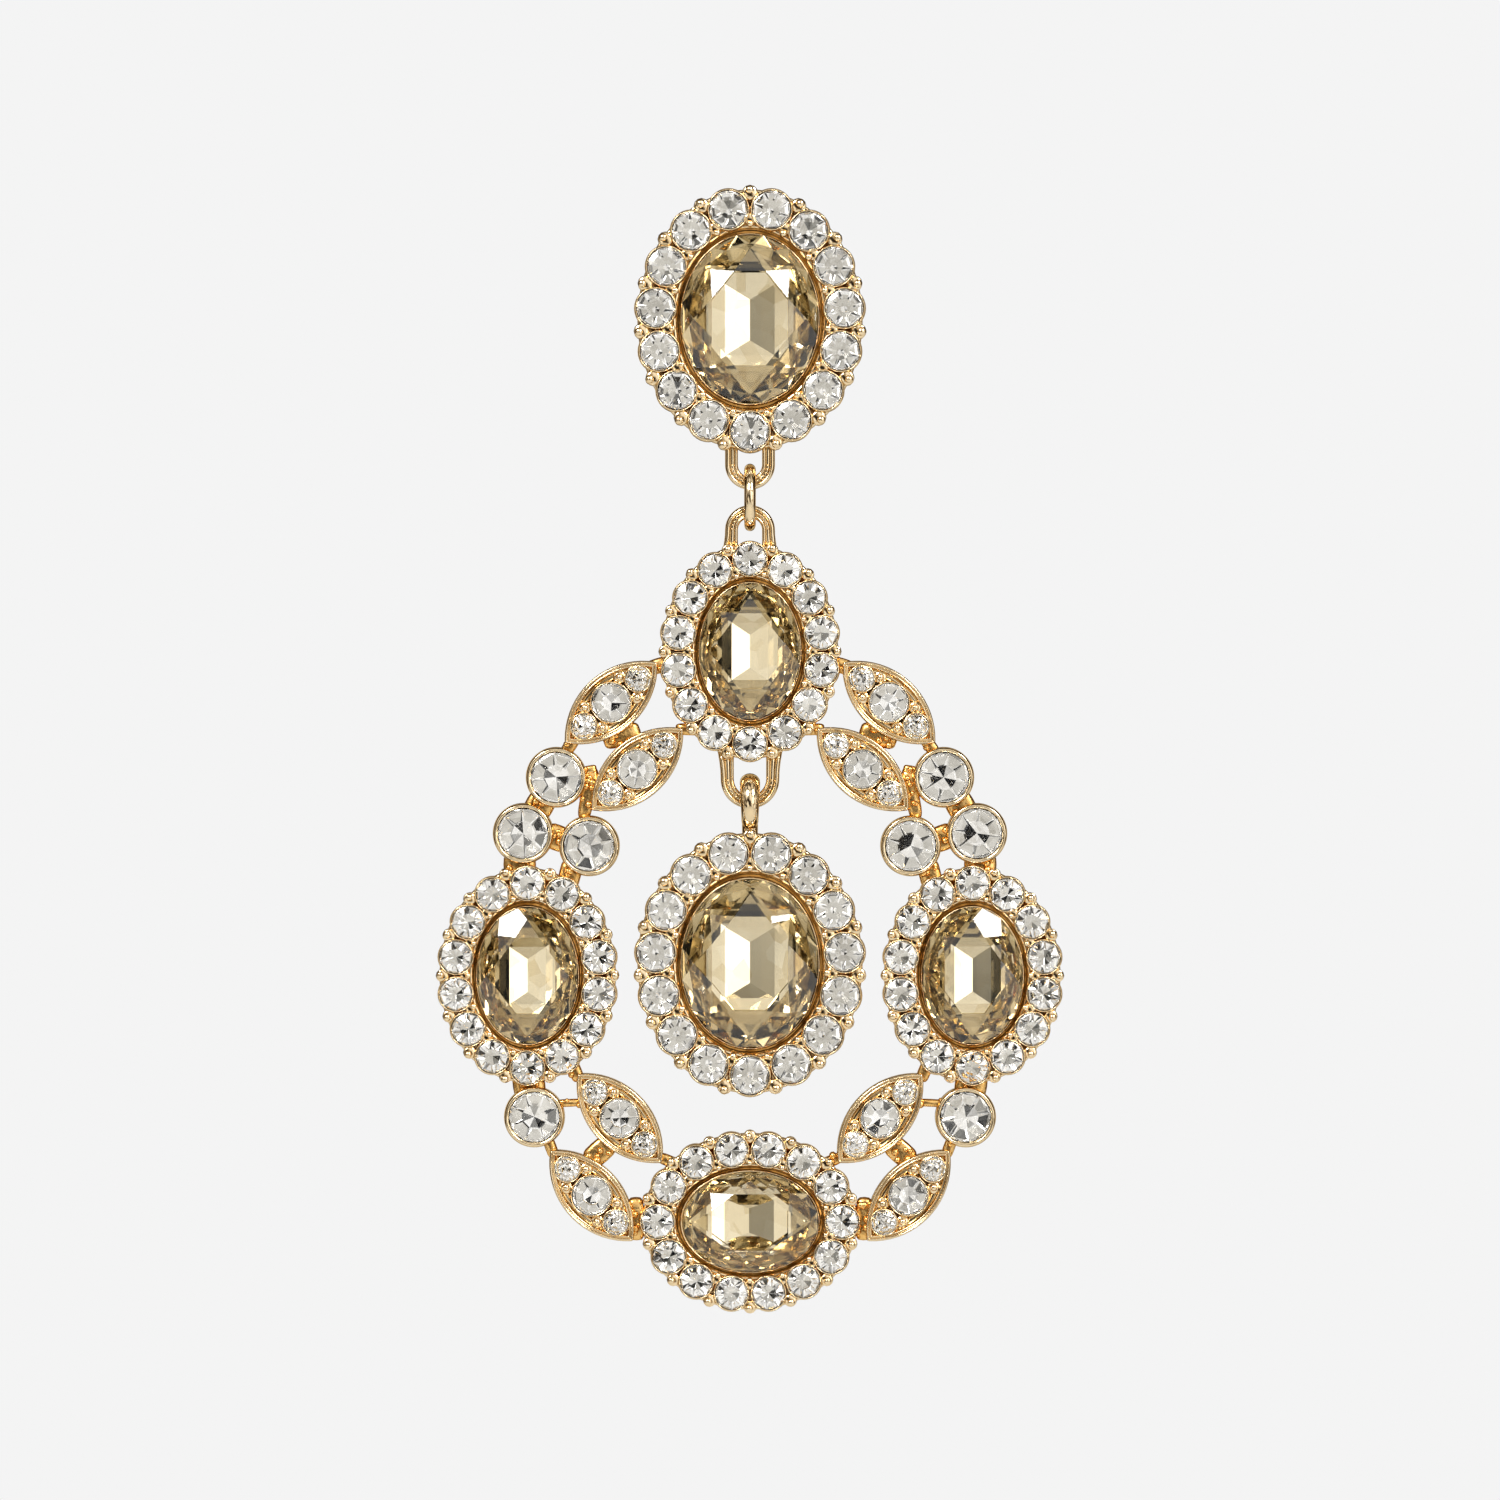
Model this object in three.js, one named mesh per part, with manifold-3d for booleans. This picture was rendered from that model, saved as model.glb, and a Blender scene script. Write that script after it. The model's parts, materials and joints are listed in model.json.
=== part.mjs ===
// Chandelier earring: an oval stud, a jump ring, an open cast frame and an inner drop.
// Millimetres. Every piece is drawn in a face frame, X to the right, Y up and Z towards
// the viewer, and the last lines turn that frame so that Z is up and the face looks to -Y.
import * as THREE from "three";
import { mergeVertices } from "three/addons/utils/BufferGeometryUtils.js";
import Module from "manifold-3d";

const wasm = await Module();
wasm.setup();

// ---- Driving dimensions -------------------------------------------------------------

// The two sizes of oval cluster: a centre stone with a halo of round stones round it.
// pathX and pathY are half the axes of the oval that the halo stones' centres lie on.
const LARGE_CLUSTER = {
  halo: 15, pathX: 7.6, pathY: 9.0, stone: 1.56,
  centreX: 5.6, centreY: 6.9, table: 2.7, culet: -1.6, back: -2.4,
};
const SMALL_CLUSTER = {
  halo: 14, pathX: 5.85, pathY: 7.4, stone: 1.33,
  centreX: 4.15, centreY: 5.6, table: 2.3, culet: -1.3, back: -2.0,
};

// Depths that all the castings share, measured from the plane of the hanging loops.
const FRONT = 1.2; // front rims of the cups
const BACK = -1.2; // back of the plate
const GIRDLE = 1.1; // widest level of the small stones
const CENTRE_GIRDLE = 0.9; // widest level of the centre stones
const SMALL_TABLE = 1.6; // flat top of the small stones
const SMALL_CULET = -0.25; // point of the small stones
const CHANNEL_FLOOR = -0.35;
const LEAF_FLOOR = 0.7;
const SEAT = 0.05; // gap between a stone and its metal
const CUP_WALL = 0.26;
const CUP_FLOOR = 0.6;
const CENTRE_CUP = { wall: 0.3, overlap: 0.3 }; // behind the plate, round the centre stone
const OVERRUN = 1; // how far a cut runs on past the surface that it opens

// Cuts of the stones. A small stone's table is a share of its radius. A centre stone's
// levels are [share of radius, share of depth], behind and in front of its girdle.
const TABLE_SHARE = 0.6;
const PAVILION = [[0, 1], [0.55, 0.55]];
const CROWN = [[0.8, 0.68], [0.52, 1], [0, 1]];
const GIRDLE_HALF = 0.15;
const HALO_STRIP = { spread: 0.04, back: 0.75, front: 1.0 }; // strip that ties a halo

// Loops that the pieces hang on: middle radius and half thickness of each ring.
const SMALL_LOOP = { middle: 1.48, wire: 0.52 };
const LARGE_LOOP = { middle: 1.82, wire: 0.54 };
const JUMP_RING = { middle: 2.27, wire: 0.48 };
const BAIL = { middle: 1.58, wire: 0.8 };
const NECK = { y: 10.4, halfWidth: 0.9, halfHeight: 1.3, front: 0.8 }; // under the bail
const HANGING_GAP = 0.12; // left between each loop and what hangs in it

// Heights down the middle, from the centre of the stud.
const STUD_LOOP_Y = -11.65;
const TOP_CLUSTER_BELOW_LOOP = 9.75;
const LARGE_LOOP_BELOW_TOP = 10.25;
const SIDE_BELOW_TOP = 26.0;
const BOTTOM_BELOW_TOP = 45.75;
const SIDE_X = 17.85;
const DROP_BELOW_BAIL = 12.95;

// Ear post, standing on the back of the stud.
const POST = {
  radius: 0.45, length: 11, pad: 2.4, padDepth: 0.5, rise: 2.5,
  fillet: 0.3, tip: 0.6, tipShare: 0.5,
};

// Half of the frame's leaves: centre, with its height below the top cluster, and the
// angle that the leaf's axis makes with level. The other half is their mirror image.
const LEAVES = [
  { name: "upper_outer", x: 11.15, below: 4.1, angle: -41.2 },
  { name: "upper_inner", x: 9.05, below: 9.45, angle: -41.7 },
  { name: "lower_inner", x: 10.45, below: 37.45, angle: 46.4 },
  { name: "lower_outer", x: 12.7, below: 43.65, angle: 47.6 },
];
const LEAF = {
  halfLength: 4.95, halfWidth: 2.4, rim: 0.4, tipRim: 0.68, back: -0.9,
  bigStone: 1.56, smallStone: 1.0, spacing: 2.9,
};

// Half of the frame's round bezels, placed as the leaves are.
const BEZELS = [
  { name: "upper", x: 15.55, below: 10.1 },
  { name: "outer", x: 18.2, below: 14.6 },
  { name: "inner", x: 12.9, below: 15.6 },
  { name: "lower", x: 17.3, below: 37.35 },
];
const BEZEL = {
  outer: 2.4, stone: 2.04, back: -1.0, front: 1.3, floor: -0.7, table: 1.8, culet: -0.55,
};

// Short cast bars behind the frame that tie neighbours together: both ends, as x and
// height below the top cluster, and the bar's width.
const BARS = [
  { x1: 6.6, y1: 0.9, x2: 8.2, y2: 1.4, width: 1.2 },
  { x1: 4.0, y1: 6.3, x2: 6.0, y2: 6.2, width: 0.9 },
  { x1: 8.8, y1: 6.3, x2: 11.8, y2: 7.2, width: 1.6 },
  { x1: 14.0, y1: 6.9, x2: 14.9, y2: 8.2, width: 1.0 },
  { x1: 12.6, y1: 9.3, x2: 13.4, y2: 13.5, width: 1.1 },
  { x1: 13.4, y1: 9.6, x2: 12.3, y2: 9.4, width: 0.7 },
  { x1: 16.4, y1: 11.5, x2: 17.4, y2: 13.2, width: 2.2 },
  { x1: 16.4, y1: 14.6, x2: 14.6, y2: 15.3, width: 2.0 },
  { x1: 18.5, y1: 16.2, x2: 18.5, y2: 18.0, width: 2.5 },
  { x1: 14.2, y1: 16.8, x2: 14.7, y2: 18.9, width: 1.7 },
  { x1: 17.9, y1: 33.8, x2: 17.6, y2: 35.8, width: 2.5 },
  { x1: 14.4, y1: 32.8, x2: 13.7, y2: 34.5, width: 1.0 },
  { x1: 15.6, y1: 36.3, x2: 13.4, y2: 36.2, width: 0.6 },
  { x1: 16.3, y1: 39.0, x2: 15.7, y2: 40.6, width: 0.9 },
  { x1: 11.2, y1: 39.4, x2: 13.0, y2: 41.0, width: 1.8 },
  { x1: 7.3, y1: 40.6, x2: 5.8, y2: 41.2, width: 0.9 },
  { x1: 9.2, y1: 43.8, x2: 9.1, y2: 47.3, width: 1.3 },
];
const BAR_FRONT = 0.5;

// Numbers of sides of the faceted rounds, and the points drawn of each scallop's arc.
const SIDES = {
  smallStone: 8, bezel: 12, neck: 10, oval: 24, centre: 16, wire: 8, ring: 16, leafArc: 5,
};
const SCALLOP_ANGLES = [-48, -16, 16, 48];

// ---- Solids -------------------------------------------------------------------------

function solidOf(geometry) {
  const bare = geometry.index ? geometry.toNonIndexed() : geometry.clone();
  bare.deleteAttribute("normal");
  bare.deleteAttribute("uv");
  const merged = mergeVertices(bare, 1e-4);
  return new wasm.Manifold(
    new wasm.Mesh({
      numProp: 3,
      vertProperties: merged.attributes.position.array,
      triVerts: new Uint32Array(merged.index.array),
    }),
  );
}

function geometryOf(solid) {
  const mesh = solid.getMesh();
  const geometry = new THREE.BufferGeometry();
  geometry.setAttribute("position", new THREE.BufferAttribute(mesh.vertProperties, 3));
  geometry.setIndex(new THREE.BufferAttribute(mesh.triVerts, 1));
  return geometry;
}

function joined(solids) {
  return solids.reduce((whole, next) => whole.add(next));
}

// Points of an oval, the first of them at the bottom when phase is 0.
function ovalPoints(radiusX, radiusY, count, phase = 0) {
  return Array.from({ length: count }, (_, i) => {
    const angle = -Math.PI / 2 + (2 * Math.PI * (i + phase)) / count;
    return new THREE.Vector2(radiusX * Math.cos(angle), radiusY * Math.sin(angle));
  });
}

// A flat-ended prism of an outline, from one depth to a higher one.
function prism(points, back, front) {
  const geometry = new THREE.ExtrudeGeometry(new THREE.Shape(points), {
    depth: front - back,
    bevelEnabled: false,
  });
  return solidOf(geometry.translate(0, 0, back));
}

function ovalPrism(radiusX, radiusY, back, front, count = SIDES.oval) {
  return prism(ovalPoints(radiusX, radiusY, count, 0.5), back, front);
}

// The same for a hole: its flats, not its corners, lie on the oval.
function ovalHole(radiusX, radiusY, back, front, count = SIDES.oval) {
  const spread = 1 / Math.cos(Math.PI / count);
  return ovalPrism(radiusX * spread, radiusY * spread, back, front, count);
}

// A solid turned about the depth axis, from points of [radius, depth] running forwards.
function turned(profile, sides) {
  const points = profile.map(([radius, depth]) => new THREE.Vector2(radius, depth));
  return solidOf(new THREE.LatheGeometry(points, sides).rotateX(Math.PI / 2));
}

// A ring of round wire in the face plane, its wire drawn as a polygon that fits the wire.
function wireRing({ middle, wire }) {
  const section = Array.from({ length: SIDES.wire + 1 }, (_, i) => {
    const angle = (2 * Math.PI * (i + 0.5)) / SIDES.wire;
    return [middle + wire * Math.cos(angle), wire * Math.sin(angle)];
  });
  return turned(section, SIDES.ring);
}

// Centres of the stones of a halo, at even steps along its oval, from the bottom round.
function haloCentres({ halo, pathX, pathY }) {
  const fine = ovalPoints(pathX, pathY, 720);
  const lengths = [0];
  for (let i = 1; i <= fine.length; i++)
    lengths.push(lengths[i - 1] + fine[i % fine.length].distanceTo(fine[i - 1]));
  const around = lengths[fine.length];
  return Array.from({ length: halo }, (_, k) =>
    fine[lengths.findIndex((length) => length >= (around * k) / halo - 1e-9)].clone(),
  );
}

// ---- Stones -------------------------------------------------------------------------

function roundStone(radius, culet, table, sides) {
  const profile = [[0, culet], [radius, GIRDLE], [radius * TABLE_SHARE, table], [0, table]];
  return turned(profile, sides);
}

function centreStone({ centreX, centreY, table, culet }) {
  const level = (end) => ([radius, share]) =>
    [radius, CENTRE_GIRDLE + share * (end - CENTRE_GIRDLE)];
  const profile = [
    ...PAVILION.map(level(culet)),
    [1, CENTRE_GIRDLE - GIRDLE_HALF],
    [1, CENTRE_GIRDLE + GIRDLE_HALF],
    ...CROWN.map(level(table)),
  ];
  return turned(profile, SIDES.centre).scale([centreX, centreY, 1]);
}

// The halo's stones, tied under their girdles by the thin strip that they are set from.
function haloStones(cluster) {
  const { stone } = cluster;
  const { spread, back, front } = HALO_STRIP;
  const centres = haloCentres(cluster);
  const ring = (scale) => centres.map((at) => at.clone().multiplyScalar(scale));
  const strip = prism(ring(1 + spread), back, front)
    .subtract(prism(ring(1 - spread), back - OVERRUN, front + OVERRUN));
  const stones = centres.map((at) =>
    roundStone(stone, SMALL_CULET, SMALL_TABLE, SIDES.smallStone).translate([at.x, at.y, 0]),
  );
  return joined([strip, ...stones]);
}

// ---- Metal --------------------------------------------------------------------------

// Each cast shape below is a body and the cuts in it. A casting joins all its bodies
// first and cuts them afterwards, so that nothing that meets a cup fills its seat.
function casting(parts) {
  const body = joined(parts.flatMap((part) => part.body));
  return body.subtract(joined(parts.flatMap((part) => part.cuts)));
}

function placed({ body, cuts }, place) {
  return { body: body.map(place), cuts: cuts.map(place) };
}

// The scalloped outline of a cluster: a few points of each cup's outer arc.
function scallopPoints(cluster, radius) {
  const { pathX, pathY } = cluster;
  return haloCentres(cluster).flatMap((at) => {
    const outwards = Math.atan2(at.y / pathY ** 2, at.x / pathX ** 2);
    return SCALLOP_ANGLES.map((degrees) => {
      const angle = outwards + THREE.MathUtils.degToRad(degrees);
      return new THREE.Vector2(Math.cos(angle), Math.sin(angle)).multiplyScalar(radius).add(at);
    });
  });
}

// A cluster: scalloped plate with a cup behind its middle, a channel for the halo's
// stones and a closed seat for the centre stone.
function clusterMetal(cluster) {
  const { pathX, pathY, stone, centreX, centreY, back } = cluster;
  const plate = prism(scallopPoints(cluster, stone + CUP_WALL), BACK, FRONT);
  const { wall, overlap } = CENTRE_CUP;
  const centreCup = ovalPrism(centreX + wall, centreY + wall, back, BACK + overlap);
  const reach = stone + SEAT;
  const front = FRONT + OVERRUN;
  const channel = ovalHole(pathX + reach, pathY + reach, CHANNEL_FLOOR, front)
    .subtract(ovalPrism(pathX - reach, pathY - reach, CHANNEL_FLOOR - OVERRUN, front + OVERRUN));
  const seat = ovalHole(centreX + SEAT, centreY + SEAT, back + CUP_FLOOR, front);
  return { body: [plate, centreCup], cuts: [channel, seat] };
}

// A pointed leaf outline of two arcs, with its axis along X.
function leafPoints(halfLength, halfWidth) {
  const radius = (halfLength ** 2 + halfWidth ** 2) / (2 * halfWidth);
  const spread = Math.asin(halfLength / radius);
  const arc = Array.from({ length: SIDES.leafArc }, (_, i) => {
    const angle = spread * (1 - (2 * i) / SIDES.leafArc);
    return [radius * Math.sin(angle), radius * Math.cos(angle) - radius + halfWidth];
  });
  return [
    ...arc.map(([x, y]) => new THREE.Vector2(x, y)),
    ...arc.map(([x, y]) => new THREE.Vector2(-x, -y)),
  ];
}

function leafMetal() {
  const { halfLength, halfWidth, rim, tipRim, back } = LEAF;
  const inside = leafPoints(halfLength - tipRim, halfWidth - rim);
  const seats = [-1, 0, 1].map((side) => {
    const radius = (side ? LEAF.smallStone : LEAF.bigStone) + SEAT;
    return ovalHole(radius, radius, CHANNEL_FLOOR, FRONT, SIDES.smallStone)
      .translate([side * LEAF.spacing, 0, 0]);
  });
  return {
    body: [prism(leafPoints(halfLength, halfWidth), back, FRONT)],
    cuts: [prism(inside, LEAF_FLOOR, FRONT + OVERRUN), ...seats],
  };
}

function bezelMetal() {
  const { outer, stone, back, front, floor } = BEZEL;
  const seat = ovalHole(stone + SEAT, stone + SEAT, floor, front + OVERRUN, SIDES.bezel);
  return { body: [ovalPrism(outer, outer, back, front, SIDES.bezel)], cuts: [seat] };
}

function barMetal({ x1, y1, x2, y2, width }) {
  const from = new THREE.Vector2(x1, -y1);
  const to = new THREE.Vector2(x2, -y2);
  const along = to.clone().sub(from);
  const length = along.length();
  const box = new THREE.BoxGeometry(length, width, BAR_FRONT - LEAF.back);
  const middle = from.add(to).multiplyScalar(0.5);
  const body = solidOf(box)
    .rotate([0, 0, THREE.MathUtils.radToDeg(along.angle())])
    .translate([middle.x, middle.y, (BAR_FRONT + LEAF.back) / 2]);
  return { body: [body], cuts: [] };
}

// A hanging loop, face on, at a height on the middle line.
function loopMetal(loop, y) {
  return { body: [wireRing(loop).translate([0, y, 0])], cuts: [] };
}

// ---- The earring --------------------------------------------------------------------

const METAL = new THREE.MeshStandardMaterial({ color: 0xd9ab62, roughness: 0.18, metalness: 1 });
const CLEAR = new THREE.MeshStandardMaterial({ color: 0xe9edee, roughness: 0.05, metalness: 0 });
const CHAMPAGNE = new THREE.MeshStandardMaterial({ color: 0xb79a5e, roughness: 0.05, metalness: 0 });

function piece(name, solid, material, parent) {
  const mesh = new THREE.Mesh(geometryOf(solid), material);
  mesh.name = name;
  parent.add(mesh);
  return mesh;
}

const stud = new THREE.Group();
const frame = new THREE.Group();
const drop = new THREE.Group();
const largeLoopY = -LARGE_LOOP_BELOW_TOP;

// Stud: casting with its loop, post, centre stone and halo.
const studLoop = loopMetal(SMALL_LOOP, STUD_LOOP_Y);
piece("stud_casting", casting([clusterMetal(LARGE_CLUSTER), studLoop]), METAL, stud);
piece("stud_centre_stone", centreStone(LARGE_CLUSTER), CHAMPAGNE, stud);
piece("stud_halo_stones", haloStones(LARGE_CLUSTER), CLEAR, stud);
const postRoot = LARGE_CLUSTER.back - SEAT;
const postEnd = postRoot - POST.length;
const postProfile = [
  [0, postEnd],
  [POST.radius * POST.tipShare, postEnd],
  [POST.radius, postEnd + POST.tip],
  [POST.radius, postRoot - POST.padDepth - POST.fillet],
  [POST.radius + POST.fillet, postRoot - POST.padDepth],
  [POST.pad, postRoot - POST.padDepth],
  [POST.pad, postRoot],
  [0, postRoot],
];
const post = turned(postProfile, SIDES.ring).translate([0, POST.rise, 0]);
piece("ear_post", post, METAL, stud);

// Jump ring, standing edge-on in the stud's loop.
const jumpRingY = STUD_LOOP_Y - SMALL_LOOP.middle + SMALL_LOOP.wire + HANGING_GAP
  + JUMP_RING.wire - JUMP_RING.middle;
const jumpRing = piece("jump_ring", wireRing(JUMP_RING), METAL, stud);
jumpRing.position.y = jumpRingY;
jumpRing.rotation.y = Math.PI / 2;

// Frame: one casting that carries four clusters, eight leaves, eight bezels, two loops.
const smallLoopY = jumpRingY - JUMP_RING.middle + JUMP_RING.wire + HANGING_GAP
  + SMALL_LOOP.wire - SMALL_LOOP.middle;
frame.position.y = smallLoopY - TOP_CLUSTER_BELOW_LOOP;

const clusters = [
  { name: "top", x: 0, below: 0, turn: 0 },
  { name: "left", x: -SIDE_X, below: SIDE_BELOW_TOP, turn: 0 },
  { name: "right", x: SIDE_X, below: SIDE_BELOW_TOP, turn: 0 },
  { name: "bottom", x: 0, below: BOTTOM_BELOW_TOP, turn: 90 },
];
const halves = [{ name: "left", side: -1 }, { name: "right", side: 1 }];
const metal = [];
for (const { name, x, below, turn } of clusters) {
  const place = (solid) => solid.rotate([0, 0, turn]).translate([x, -below, 0]);
  metal.push(placed(clusterMetal(SMALL_CLUSTER), place));
  piece(`${name}_centre_stone`, place(centreStone(SMALL_CLUSTER)), CHAMPAGNE, frame);
  piece(`${name}_halo_stones`, place(haloStones(SMALL_CLUSTER)), CLEAR, frame);
}
for (const { name, side } of halves) {
  for (const leaf of LEAVES) {
    const place = (solid) =>
      solid.rotate([0, 0, side * leaf.angle]).translate([side * leaf.x, -leaf.below, 0]);
    metal.push(placed(leafMetal(), place));
    ["inner", "middle", "outer"].forEach((which, i) => {
      const radius = which === "middle" ? LEAF.bigStone : LEAF.smallStone;
      const stone = roundStone(radius, SMALL_CULET, SMALL_TABLE, SIDES.smallStone)
        .translate([side * (i - 1) * LEAF.spacing, 0, 0]);
      piece(`${name}_${leaf.name}_leaf_${which}_stone`, place(stone), CLEAR, frame);
    });
  }
  for (const bezel of BEZELS) {
    const place = (solid) => solid.translate([side * bezel.x, -bezel.below, 0]);
    metal.push(placed(bezelMetal(), place));
    const stone = roundStone(BEZEL.stone, BEZEL.culet, BEZEL.table, SIDES.smallStone);
    piece(`${name}_${bezel.name}_bezel_stone`, place(stone), CLEAR, frame);
  }
  for (const one of BARS)
    metal.push(barMetal({ ...one, x1: side * one.x1, x2: side * one.x2 }));
}
metal.push(loopMetal(SMALL_LOOP, TOP_CLUSTER_BELOW_LOOP));
metal.push(loopMetal(LARGE_LOOP, largeLoopY));
piece("frame_casting", casting(metal), METAL, frame);

// Inner drop: casting with its edge-on bail, centre stone and halo.
const bailInFrameY = largeLoopY - LARGE_LOOP.middle;
drop.position.y = frame.position.y + bailInFrameY - DROP_BELOW_BAIL;
const bail = wireRing(BAIL).rotate([0, 90, 0]).translate([0, DROP_BELOW_BAIL, 0]);
const neck = ovalPrism(NECK.halfWidth, NECK.halfHeight, BACK, NECK.front, SIDES.neck)
  .translate([0, NECK.y, 0]);
const dropMetal = [clusterMetal(LARGE_CLUSTER), { body: [bail, neck], cuts: [] }];
piece("drop_casting", casting(dropMetal), METAL, drop);
piece("drop_centre_stone", centreStone(LARGE_CLUSTER), CHAMPAGNE, drop);
piece("drop_halo_stones", haloStones(LARGE_CLUSTER), CLEAR, drop);

// The origin is where the post leaves the back of the stud.
const hanging = new THREE.Group();
hanging.add(stud, frame, drop);
hanging.position.set(0, -POST.rise, -LARGE_CLUSTER.back);
const earring = new THREE.Group();
earring.add(hanging);
earring.rotation.x = Math.PI / 2;

export default earring;
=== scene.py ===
import json

import bpy
import numpy as np
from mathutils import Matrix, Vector

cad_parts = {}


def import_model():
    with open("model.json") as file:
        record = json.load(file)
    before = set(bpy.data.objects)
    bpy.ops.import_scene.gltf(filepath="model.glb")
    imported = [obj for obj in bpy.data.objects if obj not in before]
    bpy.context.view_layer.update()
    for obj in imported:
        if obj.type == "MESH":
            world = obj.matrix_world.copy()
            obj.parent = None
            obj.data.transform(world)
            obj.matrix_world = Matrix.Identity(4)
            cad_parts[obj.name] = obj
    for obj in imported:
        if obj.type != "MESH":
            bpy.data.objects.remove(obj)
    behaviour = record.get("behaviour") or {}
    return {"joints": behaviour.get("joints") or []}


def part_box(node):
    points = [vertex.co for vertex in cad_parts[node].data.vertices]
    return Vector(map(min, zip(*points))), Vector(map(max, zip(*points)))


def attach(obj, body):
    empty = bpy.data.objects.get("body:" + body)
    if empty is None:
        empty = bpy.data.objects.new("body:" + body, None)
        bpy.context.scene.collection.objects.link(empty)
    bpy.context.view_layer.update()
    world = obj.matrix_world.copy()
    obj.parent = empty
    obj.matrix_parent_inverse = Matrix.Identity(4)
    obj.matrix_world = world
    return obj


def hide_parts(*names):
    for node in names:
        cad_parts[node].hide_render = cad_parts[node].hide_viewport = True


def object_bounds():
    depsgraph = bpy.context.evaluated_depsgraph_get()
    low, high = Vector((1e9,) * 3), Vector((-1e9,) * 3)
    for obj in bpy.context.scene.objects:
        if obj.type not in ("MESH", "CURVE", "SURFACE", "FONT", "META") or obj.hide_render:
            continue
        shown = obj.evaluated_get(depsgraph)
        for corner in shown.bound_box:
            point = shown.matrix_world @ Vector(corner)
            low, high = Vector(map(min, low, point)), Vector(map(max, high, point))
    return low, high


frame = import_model()
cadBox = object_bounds()

# Shapes are worked out in millimetres as (across, up, front): front is towards the viewer,
# measured from the plane that all the hanging loops lie in.
mm = 0.001
loopPlaneY = frame["joints"][0]["pos_m"][1]
shade = np.random.default_rng(11)  # the small chances of hand setting and casting


def middle(node):
    # Middle of a CAD node's box, as (across, up), in millimetres.
    low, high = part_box(node)
    return np.array([(low.x + high.x) / 2, (low.z + high.z) / 2]) / mm


# Points on grids are made into closed shells, and shells are joined into pieces.

def wrapped(rows, columns, closed):
    # Quads of a grid whose columns wrap round; closed wraps the rows as well.
    row = np.arange(rows if closed else rows - 1)[:, None]
    column = np.arange(columns)[None, :]
    nextRow = (row + 1) % rows
    nextColumn = (column + 1) % columns
    corners = [row * columns + column, row * columns + nextColumn,
               nextRow * columns + nextColumn, nextRow * columns + column]
    return np.stack(corners, axis=-1).reshape(-1, 4)


def volume(points, quads, triangles):
    # Signed volume: the sum of each triangle's triple product over six.
    faces = np.vstack([quads[:, [0, 1, 2]], quads[:, [0, 2, 3]], triangles])
    a, b, c = (points[faces[:, i]] for i in range(3))
    return np.einsum("ij,ij->i", a, np.cross(b, c)).sum() / 6


def shell(points, quads, triangles, slot=0, smooth=True):
    # One closed shell, turned so that its volume is positive and its faces look out.
    quads = np.asarray(quads, int).reshape(-1, 4)
    triangles = np.asarray(triangles, int).reshape(-1, 3)
    if volume(points - points.mean(0), quads, triangles) < 0:
        quads, triangles = quads[:, ::-1], triangles[:, ::-1]
    count = len(quads) + len(triangles)
    slots = np.broadcast_to(slot, (count,)).astype(int)
    return dict(points=points, quads=quads, triangles=triangles, slots=slots,
                smooth=np.full(count, smooth))


def ringShell(grid):
    # Torus: a closed section carried round a closed path.
    rows, columns = grid.shape[:2]
    return shell(grid.reshape(-1, 3), wrapped(rows, columns, True), [])


def poleShell(grid):
    # Ball or dish: its first and last rows draw in to one point each.
    rows, columns = grid.shape[:2]
    points = np.vstack([grid[1:-1].reshape(-1, 3), grid[0].mean(0), grid[-1].mean(0)])
    quads = wrapped(rows - 2, columns, False)
    here = np.arange(columns)
    there = (here + 1) % columns
    last = (rows - 3) * columns
    first = np.stack([there, here, np.full(columns, len(points) - 2)], axis=1)
    final = np.stack([here + last, there + last, np.full(columns, len(points) - 1)], axis=1)
    return shell(points, quads, np.vstack([first, final]))


def makePiece(name, shells, materials, body, nodes):
    # Joins shells into one object in the row frame and hangs it on its body.
    counts = np.cumsum([0] + [len(s["points"]) for s in shells])
    points = np.vstack([s["points"] for s in shells])
    quads = np.vstack([s["quads"] + n for s, n in zip(shells, counts)])
    triangles = np.vstack([s["triangles"] + n for s, n in zip(shells, counts)])
    world = np.stack([points[:, 0], -points[:, 2], points[:, 1]], axis=1) * mm
    world[:, 1] += loopPlaneY
    mesh = bpy.data.meshes.new(name)
    mesh.vertices.add(len(world))
    mesh.vertices.foreach_set("co", world.astype(np.float32).ravel())
    corners = np.concatenate([quads.ravel(), triangles.ravel()])
    starts = np.concatenate([np.arange(len(quads)) * 4,
                             len(quads) * 4 + np.arange(len(triangles)) * 3])
    mesh.loops.add(len(corners))
    mesh.loops.foreach_set("vertex_index", corners.astype(np.int32))
    mesh.polygons.add(len(starts))
    mesh.polygons.foreach_set("loop_start", starts.astype(np.int32))
    for key, field in (("slots", "material_index"), ("smooth", "use_smooth")):
        first = [s[key][:len(s["quads"])] for s in shells]
        second = [s[key][len(s["quads"]):] for s in shells]
        mesh.polygons.foreach_set(field, np.concatenate(first + second))
    mesh.update(calc_edges=True)
    mesh.validate()
    for material in materials:
        mesh.materials.append(material)
    piece = bpy.data.objects.new(name, mesh)
    bpy.context.scene.collection.objects.link(piece)
    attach(piece, body)
    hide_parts(*nodes)
    return piece


# Closed paths: each is a function from an offset outwards to a loop of points.

def turned(points, turn):
    # Points of (across, up) turned about the origin, anticlockwise as the viewer sees them:
    # a product with the matrix of the turn's cosine and sine.
    c, s = np.cos(turn), np.sin(turn)
    return points @ np.array([[c, s], [-s, c]])


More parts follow.
